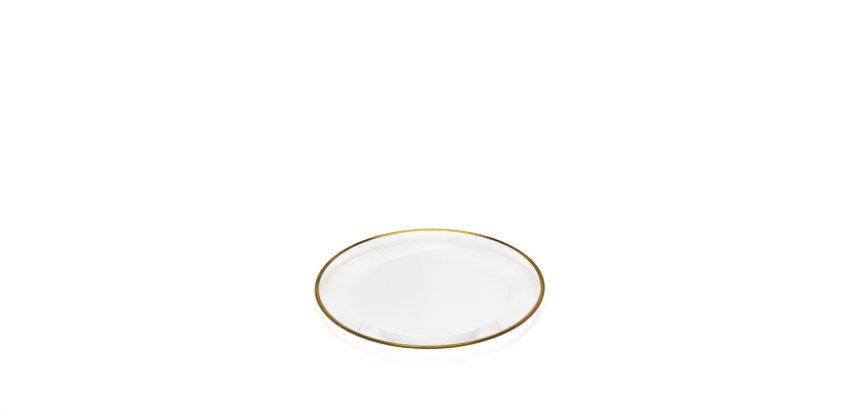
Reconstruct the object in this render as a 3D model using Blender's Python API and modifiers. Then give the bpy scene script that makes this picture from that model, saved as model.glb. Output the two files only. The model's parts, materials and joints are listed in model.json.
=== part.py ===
"""Round serving platter of clear glass with a fired gold band round its rim.

Two separate pieces share one axis, which is world Z:

  glass_body      the whole plate, one turned piece of clear glass
  gold_rim_band   the gold band that caps the lip, down to its widest point

The origin is on the surface that the platter stands on, under its centre.
Units are metres and +Z is up.
"""

import math

import bmesh
import bpy

# Driving dimensions
RIM_RADIUS = 0.160
WELL_RADIUS = 0.106
WALL_THICKNESS = 0.0038
COVE_RADIUS = 0.030
SIDE_SLOPE = math.radians(21.5)
CURL_RADIUS = 0.080
RIM_SLOPE = math.radians(28.0)

# Underside: a flat ring to stand on, round a shallow hollow
BEARING_WIDTH = 0.012
HOLLOW_DEPTH = 0.0004

# Gold band: how far it runs down from the lip's upper side; it ends at the widest point
BAND_UPPER_RUN = 0.0027
BAND_THICKNESS = 0.0003
GAP = 0.0003

# Facets
ROUND_STEPS = 96
COVE_SEGMENTS = 5
CURL_SEGMENTS = 4
LIP_SEGMENTS = 8
BAND_SEGMENTS = 6
HOLLOW_SEGMENTS = 5
MERGE_DISTANCE = 0.00001

# The wall is one thickness all over, so both faces' arcs share their centres.
# Angles are measured in the section, so DOWN is an arc's lowest point.
DOWN = -math.pi / 2.0
WELL_HEIGHT = WALL_THICKNESS
LIP_RADIUS = WALL_THICKNESS / 2.0
LIP_X = RIM_RADIUS - BAND_THICKNESS - GAP - LIP_RADIUS

# The cove's centre, over the edge of the well
COVE_X = WELL_RADIUS
COVE_Z = WELL_HEIGHT + COVE_RADIUS

# The curl's centre: its arc ends at the lip and starts on the straight side
CURL_X = LIP_X - (CURL_RADIUS + LIP_RADIUS) * math.sin(RIM_SLOPE)
CURL_START_X = CURL_X + CURL_RADIUS * math.sin(SIDE_SLOPE)
COVE_END_X = COVE_X + COVE_RADIUS * math.sin(SIDE_SLOPE)
COVE_END_Z = COVE_Z - COVE_RADIUS * math.cos(SIDE_SLOPE)
CURL_START_Z = COVE_END_Z + (CURL_START_X - COVE_END_X) * math.tan(SIDE_SLOPE)
CURL_Z = CURL_START_Z + CURL_RADIUS * math.cos(SIDE_SLOPE)
LIP_Z = CURL_Z - (CURL_RADIUS + LIP_RADIUS) * math.cos(RIM_SLOPE)


def clear_scene():
    """Remove every object, so that only the platter is left."""
    for item in list(bpy.data.objects):
        bpy.data.objects.remove(item, do_unlink=True)


def make_collection(name):
    """A new collection in the scene."""
    collection = bpy.data.collections.new(name)
    bpy.context.scene.collection.children.link(collection)
    return collection


def glass_material():
    """Clear soda-lime glass with a fire-polished surface."""
    material = bpy.data.materials.new("clear_glass")
    material.use_nodes = True
    shader = material.node_tree.nodes["Principled BSDF"]
    shader.inputs["Base Color"].default_value = (0.93, 0.95, 0.95, 1.0)
    shader.inputs["Roughness"].default_value = 0.03
    shader.inputs["Metallic"].default_value = 0.0
    shader.inputs["IOR"].default_value = 1.52
    shader.inputs["Transmission Weight"].default_value = 1.0
    return material


def gold_material():
    """Bright fired gold, slightly softened by the firing."""
    material = bpy.data.materials.new("bright_gold")
    material.use_nodes = True
    shader = material.node_tree.nodes["Principled BSDF"]
    shader.inputs["Base Color"].default_value = (0.83, 0.50, 0.10, 1.0)
    shader.inputs["Roughness"].default_value = 0.2
    shader.inputs["Metallic"].default_value = 1.0
    return material


def arc(centre_x, centre_z, radius, start, end, segments):
    """Points on an arc from one angle to another, both ends included."""
    points = []
    for step in range(segments + 1):
        angle = start + (end - start) * step / segments
        x = centre_x + radius * math.cos(angle)
        z = centre_z + radius * math.sin(angle)
        points.append((x, z))
    return points


def upper_face():
    """The well, the cove, the straight side and the curl up to the lip."""
    cove = arc(COVE_X, COVE_Z, COVE_RADIUS, DOWN, DOWN + SIDE_SLOPE, COVE_SEGMENTS)
    curl = arc(
        CURL_X, CURL_Z, CURL_RADIUS, DOWN + SIDE_SLOPE, DOWN + RIM_SLOPE, CURL_SEGMENTS
    )
    return [(0.0, WELL_HEIGHT)] + cove + curl


def lip():
    """The half-round edge, without the two points where the faces meet it."""
    above = DOWN + RIM_SLOPE + math.pi
    below = DOWN + RIM_SLOPE
    return arc(LIP_X, LIP_Z, LIP_RADIUS, above, below, LIP_SEGMENTS)[1:-1]


def under_face():
    """The underside, one wall thickness under the upper face, then the hollow."""
    curl_radius = CURL_RADIUS + WALL_THICKNESS
    cove_radius = COVE_RADIUS + WALL_THICKNESS
    curl = arc(
        CURL_X, CURL_Z, curl_radius, DOWN + RIM_SLOPE, DOWN + SIDE_SLOPE, CURL_SEGMENTS
    )
    cove = arc(COVE_X, COVE_Z, cove_radius, DOWN + SIDE_SLOPE, DOWN, COVE_SEGMENTS)
    bearing_inner = WELL_RADIUS - BEARING_WIDTH
    hollow = []
    for step in range(HOLLOW_SEGMENTS + 1):
        share = step / HOLLOW_SEGMENTS
        rise = (1.0 - math.cos(math.pi * share)) / 2.0
        hollow.append((bearing_inner * (1.0 - share), HOLLOW_DEPTH * rise))
    return curl + cove + hollow


def band_path(offset):
    """The gold band's line, this far outside the glass, ending at the widest point."""
    above = DOWN + RIM_SLOPE + math.pi
    path = arc(LIP_X, LIP_Z, LIP_RADIUS + offset, above, 0.0, BAND_SEGMENTS)
    x, z = path[0]
    start_x = x - BAND_UPPER_RUN * math.cos(RIM_SLOPE)
    start_z = z - BAND_UPPER_RUN * math.sin(RIM_SLOPE)
    return [(start_x, start_z)] + path


def turned(name, outline, closed, material, collection):
    """A solid of revolution about Z from an outline of (x, z) points."""
    mesh = bpy.data.meshes.new(name)
    cage = bmesh.new()
    corners = [cage.verts.new((x, 0.0, z)) for x, z in outline]
    for first, second in zip(corners, corners[1:]):
        cage.edges.new((first, second))
    if closed:
        cage.edges.new((corners[-1], corners[0]))
    cage.to_mesh(mesh)
    cage.free()
    mesh.materials.append(material)
    piece = bpy.data.objects.new(name, mesh)
    collection.objects.link(piece)
    screw = piece.modifiers.new("turn", "SCREW")
    screw.axis = "Z"
    screw.steps = ROUND_STEPS
    screw.render_steps = ROUND_STEPS
    screw.use_merge_vertices = True
    screw.merge_threshold = MERGE_DISTANCE
    screw.use_smooth_shade = True
    return piece


def make_glass_body(collection):
    """The plate itself, turned from one outline that starts and ends on the axis."""
    outline = upper_face() + lip() + under_face()
    return turned("glass_body", outline, False, glass_material(), collection)


def make_gold_rim_band(collection):
    """The band, a thin hook in section that hugs the upper side of the lip."""
    outside = band_path(GAP + BAND_THICKNESS)
    inside = band_path(GAP)
    outline = outside + inside[::-1]
    return turned("gold_rim_band", outline, True, gold_material(), collection)


def main():
    """Model the platter."""
    clear_scene()
    collection = make_collection("serving_platter")
    make_glass_body(collection)
    make_gold_rim_band(collection)


main()
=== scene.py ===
"""Looks of the gold-rimmed glass serving platter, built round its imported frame.

Two pieces replace the two CAD nodes: the glass, turned finely enough to bend
light cleanly, and the fired gold film that caps its lip. Both ride on "root".
"""

import json
import math

import bmesh
import bpy
from mathutils import Matrix, Vector


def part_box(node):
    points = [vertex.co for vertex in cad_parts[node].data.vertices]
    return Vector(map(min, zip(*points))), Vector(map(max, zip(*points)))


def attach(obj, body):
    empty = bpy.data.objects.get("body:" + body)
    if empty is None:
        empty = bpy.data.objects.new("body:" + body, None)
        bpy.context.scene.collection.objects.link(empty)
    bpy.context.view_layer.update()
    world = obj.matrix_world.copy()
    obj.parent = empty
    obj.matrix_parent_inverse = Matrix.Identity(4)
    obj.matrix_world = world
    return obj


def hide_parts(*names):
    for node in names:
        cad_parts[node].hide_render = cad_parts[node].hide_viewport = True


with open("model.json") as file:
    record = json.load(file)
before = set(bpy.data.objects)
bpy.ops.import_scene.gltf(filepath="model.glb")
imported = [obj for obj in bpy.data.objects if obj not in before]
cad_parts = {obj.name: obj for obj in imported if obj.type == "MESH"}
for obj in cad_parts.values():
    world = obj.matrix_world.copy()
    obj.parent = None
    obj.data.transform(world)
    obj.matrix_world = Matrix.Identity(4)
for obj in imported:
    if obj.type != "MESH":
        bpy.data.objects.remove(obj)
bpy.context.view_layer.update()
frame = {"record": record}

# From the frame
GLASS_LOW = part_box("glass_body")[0]
BAND_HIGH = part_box("gold_rim_band")[1]
MOUNTS = {mount["name"]: Vector(mount["pos_m"]) for mount in frame["record"]["mounts"]}
RIM_RADIUS = BAND_HIGH.x
WALL_THICKNESS = MOUNTS["well_face"].z
BEARING_MIDDLE = MOUNTS["bearing_face"].x

# The plate's section, metres, as in the CAD
BEARING_WIDTH = 0.012
WELL_RADIUS = BEARING_MIDDLE + BEARING_WIDTH / 2.0
COVE_RADIUS = 0.030
SIDE_SLOPE = math.radians(21.5)
CURL_RADIUS = 0.080
RIM_SLOPE = math.radians(28.0)
HOLLOW_DEPTH = 0.0004

# The gold film: its gap to the glass, its thickness, how far it runs in from the
# lip, and how far above the lip's widest point it ends
FILM_SEAT = 0.00004
FILM_THICKNESS = 0.00008
FILM_UPPER_RUN = 0.0036
FILM_END = math.radians(12.0)

# How far the film's edges wander and the rim is out of true, and each one's waves
# round the plate: share, number of waves and phase
BRUSH_WANDER = 0.00012
BRUSH_WAVES = ((0.5, 7.0, 0.6), (0.3, 17.0, 2.1), (0.2, 41.0, 4.0))
RIM_WARP = 0.00010
RIM_WAVES = ((1.0, 2.0, 0.7), (0.4, 3.0, 2.0), (0.2, 5.0, 1.1))

# Mesh fineness, and the radius under which a point is on the axis
ROUND_STEPS = 288
ARC_STEPS = 14
LIP_STEPS = 24
FILM_STEPS = 6
ON_AXIS = 1e-9

# Glass. Noise scales here and below are per metre; a range is where a noise
# starts to count and where it counts in full.
GLASS_SURFACE = (0.93, 0.932, 0.932, 1.0)
GLASS_DEPTH = (0.80, 0.93, 0.89, 1.0)
GLASS_DEPTH_DENSITY = 1.0
GLASS_IOR = 1.52
SMEAR_SCALE_X = 9.0
SMEAR_SCALE_Y = 38.0
SMEAR_RANGE = (0.45, 0.75)
SMEAR_ROUGHNESS = 0.020
SCUFF_SCALE = 420.0
SCUFF_RANGE = (0.58, 0.70)
SCUFF_ROUGHNESS = 0.12
SCUFF_EDGE = 0.0008
SCUFF_HEIGHTS = (0.00005, 0.0002)
WAVE_SCALE = 34.0
WAVE_HEIGHT = 0.00006
WAVE_STRENGTH = 0.5

# Gold
GOLD_DEEP = (0.47, 0.24, 0.010, 1.0)
GOLD_BRIGHT = (0.60, 0.33, 0.016, 1.0)
# paler gold for the top of the lip: partly rubbed wear, partly a painted highlight
GOLD_RUBBED_AND_HIGHLIGHT = (0.66, 0.47, 0.14, 1.0)
GOLD_SMOOTH = 0.09
GOLD_ROUGH = 0.20
STREAK_SCALE_ACROSS = 2600.0
STREAK_SCALE_ALONG = 14.0
CLOUD_SCALE = 55.0
CLOUD_SHARE = 0.6
GRAIN_SCALE = 1900.0
GRAIN_SHARE = 0.4
TONE_RANGE = (0.6, 1.0)
# where on the lip's top the rubbing and the painted highlight lie, their patches, their share of
# the colour and the rubbing's roughness
CROWN_RANGE = (0.93, 1.08)
RUBBED_AND_HIGHLIGHT_RANGE = (0.50, 0.68)
RUBBED_AND_HIGHLIGHT_SHARE = 0.6
RUBBED_ROUGHNESS = 0.10
BRUSH_DEPTH = 0.00001
BRUSH_STRENGTH = 0.35

# Floor
FLOOR_DROP = 0.0002
FLOOR_SIZE = 30.0
FLOOR_DARKER = (0.90, 0.90, 0.90, 1.0)
FLOOR_PALER = (0.93, 0.93, 0.93, 1.0)
FLOOR_MOTTLE_SCALE = 5.0
FLOOR_ROUGHNESS = 0.9
FLOOR_GLOW = 0.495
FLOOR_IN_MIRRORS = 0.25

# Studio: radiance of each part of the surroundings
BACK_SWEEP = 0.67
BACK_WALL = 0.38
BACK_DOORWAY = 0.12
BACK_STRIP = 0.75
FRONT_WALL = 0.18
CEILING = 0.05
CARD = 1.75
KEY_RIGHT = 2.35
KEY_LEFT = 1.4
BACKGROUND = 1.0

# Studio: where each part is, in the directions that see it. BACK_BEGINS is in y,
# heights are in z, sides are x over y, and the overhead shapes are laid out at unit
# height. Two numbers are where a change starts and ends; three are a part's low end,
# its high end and the softness of both.
BACK_BEGINS = (0.05, 0.35)
SWEEP_FADES = (0.0, 0.20)
SWEEP_SIDES = (-0.50, 0.50, 0.08)
CURVE_FADES = (0.34, 0.40)
CURVE_SIDES = (-0.40, 0.40, 0.14)
DOORWAY_SIDES = (-0.24, -0.01, 0.02)
DOORWAY_HEIGHTS = (0.44, 0.60, 0.02)
STRIP_HEIGHTS = (0.645, 0.675, 0.012)
CEILING_BEGINS = (0.76, 0.84)
OVERHEAD_BEGINS = (0.3, 0.4)
CARD_ACROSS = (-0.37, 0.37, 0.015)
CARD_AWAY = (-0.60, 0.35, 0.07)
KEY_ACROSS = (-0.13, 0.13, 0.03)
KEY_ALONG = (-1.0, 1.0, 0.15)
KEY_TURN = math.radians(33.0)
LEAST_DIVISOR = 0.05
HALF_A_BOUNCE = 0.5

# The camera
CAMERA_DISTANCE = 0.8485
CAMERA_ELEVATION = math.radians(30.23)
CAMERA_AIM_ABOVE = math.radians(6.865)
CAMERA_AIM_RIGHT = math.radians(0.127)
CAMERA_ROLL = math.radians(0.65)
CAMERA_LENS = 25.06
CAMERA_SENSOR = 36.0

# The wall is one thickness all over, so both faces' arcs share their centres.
# Angles are measured in the section: DOWN is an arc's lowest point, and the two
# faces meet the lip at LIP_ABOVE and LIP_BELOW.
DOWN = -math.pi / 2.0
LIP_BELOW = DOWN + RIM_SLOPE
LIP_ABOVE = DOWN + RIM_SLOPE + math.pi
LIP_RADIUS = WALL_THICKNESS / 2.0
LIP_X = RIM_RADIUS - FILM_SEAT - FILM_THICKNESS - LIP_RADIUS
COVE_X = WELL_RADIUS
COVE_Z = WALL_THICKNESS + COVE_RADIUS
CURL_X = LIP_X - (CURL_RADIUS + LIP_RADIUS) * math.sin(RIM_SLOPE)
CURL_START_X = CURL_X + CURL_RADIUS * math.sin(SIDE_SLOPE)
COVE_END_X = COVE_X + COVE_RADIUS * math.sin(SIDE_SLOPE)
COVE_END_Z = COVE_Z - COVE_RADIUS * math.cos(SIDE_SLOPE)
CURL_START_Z = COVE_END_Z + (CURL_START_X - COVE_END_X) * math.tan(SIDE_SLOPE)
CURL_Z = CURL_START_Z + CURL_RADIUS * math.cos(SIDE_SLOPE)
LIP_Z = CURL_Z - (CURL_RADIUS + LIP_RADIUS) * math.cos(RIM_SLOPE)


def line(start, end, count):
    """Points from start to end, without the start."""
    points = []
    for step in range(1, count + 1):
        share = step / count
        x = start[0] + (end[0] - start[0]) * share
        z = start[1] + (end[1] - start[1]) * share
        points.append((x, z))
    return points


def arc(x, z, radius, start, end, count):
    """Points on an arc round (x, z) from one angle to another, both ends included."""
    points = []
    for step in range(count + 1):
        angle = start + (end - start) * step / count
        points.append((x + radius * math.cos(angle), z + radius * math.sin(angle)))
    return points


def face(extra):
    """One face of the wall from the well to the lip, extra below the upper face."""
    cove = arc(COVE_X, COVE_Z, COVE_RADIUS + extra, DOWN, DOWN + SIDE_SLOPE, ARC_STEPS)
    curl_radius = CURL_RADIUS + extra
    curl = arc(CURL_X, CURL_Z, curl_radius, DOWN + SIDE_SLOPE, LIP_BELOW, ARC_STEPS)
    return cove + line(cove[-1], curl[0], ARC_STEPS) + curl[1:]


def lip(offset, end):
    """The rounded lip, this far outside the glass, from its upper side to an angle."""
    return arc(LIP_X, LIP_Z, LIP_RADIUS + offset, LIP_ABOVE, end, LIP_STEPS)


def hollow():
    """The shallow hollow in the base, from the bearing ring to the axis."""
    inner = WELL_RADIUS - BEARING_WIDTH
    points = []
    for step in range(ARC_STEPS + 1):
        share = step / ARC_STEPS
        rise = (1.0 - math.cos(math.pi * share)) / 2.0
        points.append((inner * (1.0 - share), HOLLOW_DEPTH * rise))
    return points


def glass_section(angle):
    """The plate's section, the same at every angle: over the lip and back to the axis."""
    middle = (0.0, WALL_THICKNESS)
    well = [middle] + line(middle, (COVE_X, WALL_THICKNESS), ARC_STEPS)
    upper = face(0.0)
    under = face(WALL_THICKNESS)
    edge = lip(0.0, LIP_BELOW)
    return well + upper[1:] + edge[1:-1] + under[::-1] + hollow()


def ripple(waves, angle):
    """The sum of some waves round the plate, at this angle."""
    return sum(share * math.sin(count * angle + phase) for share, count, phase in waves)


def film_face(offset, run, end):
    """One face of the film, this far outside the glass: along the curl, then the lip."""
    start = LIP_BELOW - run / CURL_RADIUS
    curl = arc(CURL_X, CURL_Z, CURL_RADIUS - offset, start, LIP_BELOW, FILM_STEPS)
    return curl + lip(offset, end)[1:]


def film_section(angle):
    """The gold film's section at this angle round the plate, thinned away at its edges."""
    wander = BRUSH_WANDER * ripple(BRUSH_WAVES, angle)
    run = FILM_UPPER_RUN + wander
    end = FILM_END + wander / LIP_RADIUS
    outer = film_face(FILM_SEAT + FILM_THICKNESS, run - FILM_THICKNESS, end)
    inner = film_face(FILM_SEAT, run, end - FILM_THICKNESS / LIP_RADIUS)
    return outer + inner[::-1]


def out_of_true(radius, z, angle):
    """A point's height on the real plate, whose side is never quite true."""
    share = max(0.0, (radius - WELL_RADIUS) / (RIM_RADIUS - WELL_RADIUS))
    return z + RIM_WARP * ripple(RIM_WAVES, angle) * share * share


def turned(name, section, closed):
    """A smooth solid about Z, with its section at each angle given by a function.

    An open section starts and ends on the axis.
    """
    shape = bmesh.new()
    columns = []
    for step in range(ROUND_STEPS):
        angle = 2.0 * math.pi * step / ROUND_STEPS
        column = []
        for index, (radius, z) in enumerate(section(angle)):
            if radius < ON_AXIS:
                first = columns[0][index] if columns else shape.verts.new((0.0, 0.0, z))
                column.append(first)
                continue
            height = out_of_true(radius, z, angle)
            place = (radius * math.cos(angle), radius * math.sin(angle), height)
            column.append(shape.verts.new(place))
        columns.append(column)
    for step, column in enumerate(columns):
        beside = columns[(step + 1) % ROUND_STEPS]
        count = len(column) if closed else len(column) - 1
        for index in range(count):
            after = (index + 1) % len(column)
            corners = [column[index], column[after], beside[after], beside[index]]
            # beside the axis two corners are the same, which leaves a triangle
            shape.faces.new(list(dict.fromkeys(corners)))
    mesh = bpy.data.meshes.new(name)
    shape.to_mesh(mesh)
    shape.free()
    mesh.shade_smooth()
    piece = bpy.data.objects.new(name, mesh)
    bpy.context.scene.collection.objects.link(piece)
    return piece


class Graph:
    """Short calls for building a node graph out of maths."""

    def __init__(self, tree):
        self.tree = tree

    def put(self, value, socket):
        """Set a socket to a number or link it to another node's output."""
        if isinstance(value, (int, float, tuple)):
            socket.default_value = value
        else:
            self.tree.links.new(value, socket)

    def math(self, operation, first, second):
        """One sum on two values."""
        node = self.tree.nodes.new("ShaderNodeMath")
        node.operation = operation
        self.put(first, node.inputs[0])
        self.put(second, node.inputs[1])
        return node.outputs[0]

    def add(self, first, second):
        return self.math("ADD", first, second)

    def subtract(self, first, second):
        return self.math("SUBTRACT", first, second)

    def multiply(self, first, second):
        return self.math("MULTIPLY", first, second)

    def step(self, value, low, high):
        """0 below low, 1 above high, and smooth between them."""
        node = self.tree.nodes.new("ShaderNodeMapRange")
        node.interpolation_type = "SMOOTHSTEP"
        self.put(value, node.inputs["Value"])
        node.inputs["From Min"].default_value = low
        node.inputs["From Max"].default_value = high
        return node.outputs["Result"]

    def fall(self, value, low, high):
        """1 below low, 0 above high, and smooth between them."""
        return self.subtract(1.0, self.step(value, low, high))

    def between(self, value, low, high, soft):
        """1 from low to high and 0 outside them, with soft edges."""
        rising = self.step(value, low - soft, low + soft)
        falling = self.fall(value, high - soft, high + soft)
        return self.multiply(rising, falling)

    def blend(self, low, high, share):
        """From one number to another."""
        node = self.tree.nodes.new("ShaderNodeMix")
        node.data_type = "FLOAT"
        self.put(share, node.inputs["Factor"])
        self.put(low, node.inputs["A"])
        self.put(high, node.inputs["B"])
        return node.outputs["Result"]

    def blend_colour(self, low, high, share):
        """From one colour to another; a mix node's colour sockets are the ones numbered."""
        node = self.tree.nodes.new("ShaderNodeMix")
        node.data_type = "RGBA"
        self.put(share, node.inputs["Factor"])
        self.put(low, node.inputs[6])
        self.put(high, node.inputs[7])
        return node.outputs[2]

    def split(self, vector):
        """A vector's x, y and z."""
        node = self.tree.nodes.new("ShaderNodeSeparateXYZ")
        self.put(vector, node.inputs[0])
        return node.outputs

    def join(self, x, y, z):
        """A vector from x, y and z."""
        node = self.tree.nodes.new("ShaderNodeCombineXYZ")
        self.put(x, node.inputs[0])
        self.put(y, node.inputs[1])
        self.put(z, node.inputs[2])
        return node.outputs[0]

    def radius(self, x, y):
        """The distance from the platter's axis."""
        squares = self.add(self.multiply(x, x), self.multiply(y, y))
        return self.math("SQRT", squares, 0.0)

    def noise(self, place, scale, detail):
        """Cloudy noise from 0 to 1."""
        node = self.tree.nodes.new("ShaderNodeTexNoise")
        self.put(place, node.inputs["Vector"])
        node.inputs["Scale"].default_value = scale
        node.inputs["Detail"].default_value = detail
        return node.outputs["Fac"]

    def bump(self, height, distance, strength):
        """A normal tilted by a height."""
        node = self.tree.nodes.new("ShaderNodeBump")
        self.put(height, node.inputs["Height"])
        node.inputs["Distance"].default_value = distance
        node.inputs["Strength"].default_value = strength
        return node.outputs["Normal"]

    def place(self):
        """A point's own coordinates on the piece, in metres."""
        return self.tree.nodes.new("ShaderNodeTexCoord").outputs["Object"]


def new_material(name):
    """A node material, its Principled shader and its graph."""
    material = bpy.data.materials.new(name)
    material.use_nodes = True
    tree = material.node_tree
    return material, tree.nodes["Principled BSDF"], Graph(tree)


def glass_material():
    """Clear pressed glass: faintly wavy, hazed by wiping, scuffed where it stands."""
    material, shader, graph = new_material("clear_glass")
    place = graph.place()
    x, y, z = graph.split(place)
    # wiping leaves long soft smears across the plate
    across = graph.multiply(x, SMEAR_SCALE_X)
    along = graph.multiply(y, SMEAR_SCALE_Y)
    smears = graph.step(graph.noise(graph.join(across, along, z), 1.0, 3.0), *SMEAR_RANGE)
    haze = graph.multiply(smears, SMEAR_ROUGHNESS)
    # fine scratches on the ring that the plate stands on
    bearing_inner = WELL_RADIUS - BEARING_WIDTH
    ring = graph.between(graph.radius(x, y), bearing_inner, WELL_RADIUS, SCUFF_EDGE)
    low = graph.fall(z, *SCUFF_HEIGHTS)
    scuffs = graph.step(graph.noise(place, SCUFF_SCALE, 2.0), *SCUFF_RANGE)
    scuffed = graph.multiply(graph.multiply(ring, low), scuffs)
    roughness = graph.add(haze, graph.multiply(scuffed, SCUFF_ROUGHNESS))
    graph.put(roughness, shader.inputs["Roughness"])
    # the mould and the fire polish leave slow waves in the surface
    waves = graph.noise(place, WAVE_SCALE, 1.0)
    graph.put(graph.bump(waves, WAVE_HEIGHT, WAVE_STRENGTH), shader.inputs["Normal"])
    shader.inputs["Base Color"].default_value = GLASS_SURFACE
    shader.inputs["IOR"].default_value = GLASS_IOR
    shader.inputs["Transmission Weight"].default_value = 1.0
    # the glass takes a little more red than green, as soda-lime glass does
    tree = material.node_tree
    depth = tree.nodes.new("ShaderNodeVolumeAbsorption")
    depth.inputs["Color"].default_value = GLASS_DEPTH
    depth.inputs["Density"].default_value = GLASS_DEPTH_DENSITY
    tree.links.new(depth.outputs[0], tree.nodes["Material Output"].inputs["Volume"])
    return material


def gold_material():
    """Fired gold, brushed on while the plate turned, a little rubbed on top of the lip and
    painted paler there as a painted highlight.
    """
    material, shader, graph = new_material("fired_gold")
    place = graph.place()
    x, y, z = graph.split(place)
    # streaks run round the plate: fine across the band, long along it
    across = graph.multiply(graph.subtract(graph.radius(x, y), z), STREAK_SCALE_ACROSS)
    along_x = graph.multiply(x, STREAK_SCALE_ALONG)
    along_y = graph.multiply(y, STREAK_SCALE_ALONG)
    streaks = graph.noise(graph.join(along_x, along_y, across), 1.0, 3.0)
    clouds = graph.noise(place, CLOUD_SCALE, 3.0)
    grain = graph.noise(place, GRAIN_SCALE, 2.0)
    tone = graph.step(graph.add(streaks, graph.multiply(clouds, CLOUD_SHARE)), *TONE_RANGE)
    colour = graph.blend_colour(GOLD_DEEP, GOLD_BRIGHT, tone)
    # the topmost line of the lip is rubbed thin in patches, which makes it rougher, and is
    # painted paler there as a painted highlight
    crown_low, crown_high = [LIP_Z + share * LIP_RADIUS for share in CROWN_RANGE]
    crown = graph.step(z, crown_low, crown_high)
    rubbed_and_highlight = graph.multiply(crown, graph.step(clouds, *RUBBED_AND_HIGHLIGHT_RANGE))
    colour = graph.blend_colour(colour, GOLD_RUBBED_AND_HIGHLIGHT, graph.multiply(rubbed_and_highlight, RUBBED_AND_HIGHLIGHT_SHARE))
    graph.put(colour, shader.inputs["Base Color"])
    roughness = graph.blend(GOLD_SMOOTH, GOLD_ROUGH, streaks)
    roughness = graph.add(roughness, graph.multiply(rubbed_and_highlight, RUBBED_ROUGHNESS))
    graph.put(roughness, shader.inputs["Roughness"])
    height = graph.add(streaks, graph.multiply(grain, GRAIN_SHARE))
    graph.put(graph.bump(height, BRUSH_DEPTH, BRUSH_STRENGTH), shader.inputs["Normal"])
    shader.inputs["Metallic"].default_value = 1.0
    return material


def floor_material():
    """A matt pale sweep, faintly mottled and partly self-lit, as a light table is."""
    material, shader, graph = new_material("pale_floor")
    mottle = graph.noise(graph.place(), FLOOR_MOTTLE_SCALE, 4.0)
    graph.put(graph.blend_colour(FLOOR_DARKER, FLOOR_PALER, mottle), shader.inputs["Base Color"])
    shader.inputs["Roughness"].default_value = FLOOR_ROUGHNESS
    shader.inputs["Specular IOR Level"].default_value = 0.0
    shader.inputs["Emission Color"].default_value = (1.0, 1.0, 1.0, 1.0)
    # mirrors see the surface dimmer than the eye does, so the gold keeps its depth
    ray = material.node_tree.nodes.new("ShaderNodeLightPath").outputs
    direct = graph.subtract(1.0, ray["Is Transmission Ray"])
    mirrored = graph.multiply(ray["Is Glossy Ray"], direct)
    glow = graph.blend(FLOOR_GLOW, FLOOR_IN_MIRRORS, mirrored)
    graph.put(glow, shader.inputs["Emission Strength"])
    return material


def make_floor():
    """The surface that the platter stands on."""
    shape = bmesh.new()
    bmesh.ops.create_grid(shape, x_segments=1, y_segments=1, size=FLOOR_SIZE / 2.0)
    mesh = bpy.data.meshes.new("floor")
    shape.to_mesh(mesh)
    shape.free()
    mesh.materials.append(floor_material())
    floor = bpy.data.objects.new("floor", mesh)
    floor.location.z = GLASS_LOW.z - FLOOR_DROP
    bpy.context.scene.collection.objects.link(floor)


def back_wall(graph, x, y, z):
    """The wall behind the platter, which rises out of the sweep's bright curve."""
    side = graph.math("DIVIDE", x, graph.math("MAXIMUM", y, LEAST_DIVISOR))
    sweep = graph.multiply(graph.fall(z, *SWEEP_FADES), graph.between(side, *SWEEP_SIDES))
    # the curve is highest in the middle
    curve = graph.multiply(graph.between(side, *CURVE_SIDES), graph.fall(z, *CURVE_FADES))
    wall = graph.blend(BACK_WALL, BACK_SWEEP, graph.math("MAXIMUM", sweep, curve))
    # a darker doorway in it, left of the middle, and a bright strip above
    doorway_height = graph.between(z, *DOORWAY_HEIGHTS)
    doorway = graph.multiply(graph.between(side, *DOORWAY_SIDES), doorway_height)
    wall = graph.blend(wall, BACK_DOORWAY, doorway)
    return graph.blend(wall, BACK_STRIP, graph.between(z, *STRIP_HEIGHTS))


def tube(graph, across, away, turn):
    """1 inside a long narrow overhead tube, turned clockwise from the camera's axis."""
    cosine = math.cos(turn)
    sine = math.sin(turn)
    side = graph.subtract(graph.multiply(across, cosine), graph.multiply(away, sine))
    along = graph.add(graph.multiply(across, sine), graph.multiply(away, cosine))
    return graph.multiply(graph.between(side, *KEY_ACROSS), graph.between(along, *KEY_ALONG))


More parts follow.
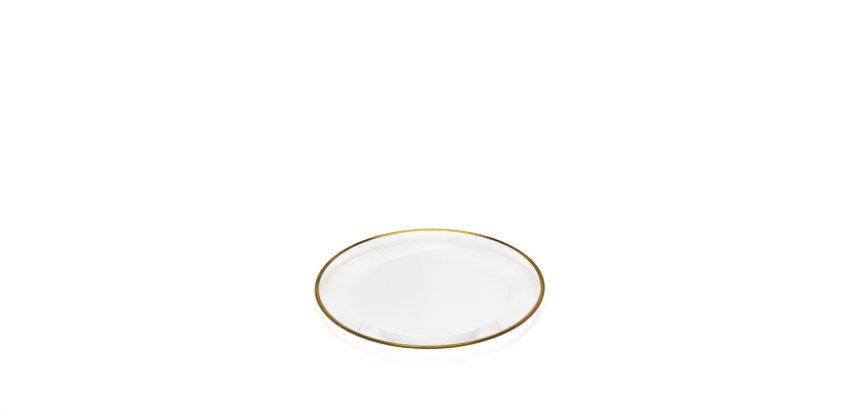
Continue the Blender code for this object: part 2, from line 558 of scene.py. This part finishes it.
def make_studio():
    """The light: two tubes and a card overhead in a dark ceiling, and dim walls.

    Directions are in the world's own axes: +Z is up and +Y is away from the camera.
    """
    world = bpy.data.worlds.new("studio")
    world.use_nodes = True
    bpy.context.scene.world = world
    graph = Graph(world.node_tree)
    nodes = world.node_tree.nodes
    x, y, z = graph.split(nodes.new("ShaderNodeTexCoord").outputs["Generated"])
    ray = nodes.new("ShaderNodeLightPath").outputs
    walls = graph.blend(FRONT_WALL, back_wall(graph, x, y, z), graph.step(y, *BACK_BEGINS))
    room = graph.blend(walls, CEILING, graph.step(z, *CEILING_BEGINS))
    # two crossed tubes light the floor, and the card under them is what mirrors show
    height = graph.math("MAXIMUM", z, LEAST_DIVISOR)
    across = graph.math("DIVIDE", x, height)
    away = graph.math("DIVIDE", y, height)
    overhead = graph.step(z, *OVERHEAD_BEGINS)
    card = graph.multiply(graph.between(across, *CARD_ACROSS), graph.between(away, *CARD_AWAY))
    mirrored = graph.blend(room, CARD, graph.multiply(card, overhead))
    right = graph.multiply(tube(graph, across, away, KEY_TURN), overhead)
    left = graph.multiply(tube(graph, across, away, -KEY_TURN), overhead)
    lighting = graph.blend(room, KEY_RIGHT, right)
    lighting = graph.add(lighting, graph.multiply(left, KEY_LEFT))
    from_floor = graph.math("GREATER_THAN", ray["Diffuse Depth"], HALF_A_BOUNCE)
    lit = graph.blend(mirrored, lighting, from_floor)
    background = nodes["Background"]
    seen = graph.blend(lit, BACKGROUND, ray["Is Camera Ray"])
    graph.put(seen, background.inputs["Strength"])
    background.inputs["Color"].default_value = (1.0, 1.0, 1.0, 1.0)


def make_camera():
    """The camera, held a little crooked, looking down at the platter from the front."""
    camera = bpy.data.cameras.new("camera")
    camera.sensor_width = CAMERA_SENSOR
    camera.lens = CAMERA_LENS
    camera.clip_end = FLOOR_SIZE
    holder = bpy.data.objects.new("camera", camera)
    target = Vector((0.0, 0.0, BAND_HIGH.z))
    back = Vector((0.0, -math.cos(CAMERA_ELEVATION), math.sin(CAMERA_ELEVATION)))
    holder.location = target + back * CAMERA_DISTANCE
    tilt = math.pi / 2.0 - CAMERA_ELEVATION + CAMERA_AIM_ABOVE
    aim = Matrix.Rotation(-CAMERA_AIM_RIGHT, 4, "Z") @ Matrix.Rotation(tilt, 4, "X")
    holder.rotation_euler = (aim @ Matrix.Rotation(-CAMERA_ROLL, 4, "Z")).to_euler()
    bpy.context.scene.collection.objects.link(holder)
    bpy.context.scene.camera = holder


def make_piece(name, section, closed, material, node):
    """A turned piece that stands for a CAD node and rides on the platter's one body."""
    piece = turned(name, section, closed)
    piece.data.materials.append(material)
    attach(piece, "root")
    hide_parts(node)


def main():
    """Make the platter, its surface, its light and the camera."""
    make_piece("platter_glass", glass_section, False, glass_material(), "glass_body")
    make_piece("gold_film", film_section, True, gold_material(), "gold_rim_band")
    make_floor()
    make_studio()
    make_camera()
    bpy.context.scene.view_settings.view_transform = "Standard"
    # keep the light that the glass passes on as sharp and as bright as it really is
    bpy.context.scene.cycles.blur_glossy = 0.0


main()
